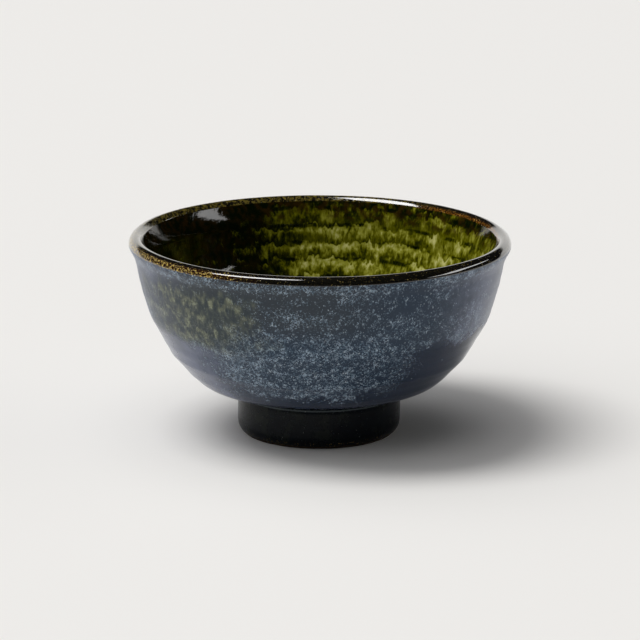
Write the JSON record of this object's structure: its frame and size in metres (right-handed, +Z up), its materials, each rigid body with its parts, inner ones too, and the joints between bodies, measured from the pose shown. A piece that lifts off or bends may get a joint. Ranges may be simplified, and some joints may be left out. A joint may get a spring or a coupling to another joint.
{
  "type": "donburi bowl",
  "caption": "Deep round stoneware rice bowl on a tall foot, with a rolled lip, a moss-green glazed inside and a speckled blue-black glazed outside.",
  "frame": {"origin": "middle of the foot's contact face", "axes": "+Z up along the axis of turning, -Y towards the picture's camera, +X to its right"},
  "size_m": [0.155, 0.155, 0.082],
  "materials": {
    "bare_clay": "unglazed iron-bearing stoneware, dry to the touch",
    "outer_glaze": "satin slate-blue glaze with fine pale crystals and a moss-green splash",
    "rim_glaze": "glossy iron-brown glaze breaking to ochre",
    "inner_glaze": "glossy moss-green glaze with paler runs and dark throwing lines",
    "foot_glaze": "satin near-black glaze",
    "base_glaze": "satin near-black glaze"
  },
  "bodies": {
    "root": {"clay_body": "bare_clay", "foot_ring": "bare_clay", "outer_glaze": "outer_glaze", "rim_glaze": "rim_glaze", "inner_glaze": "inner_glaze", "foot_glaze": "foot_glaze", "base_glaze": "base_glaze"}
  },
  "joints": []
}
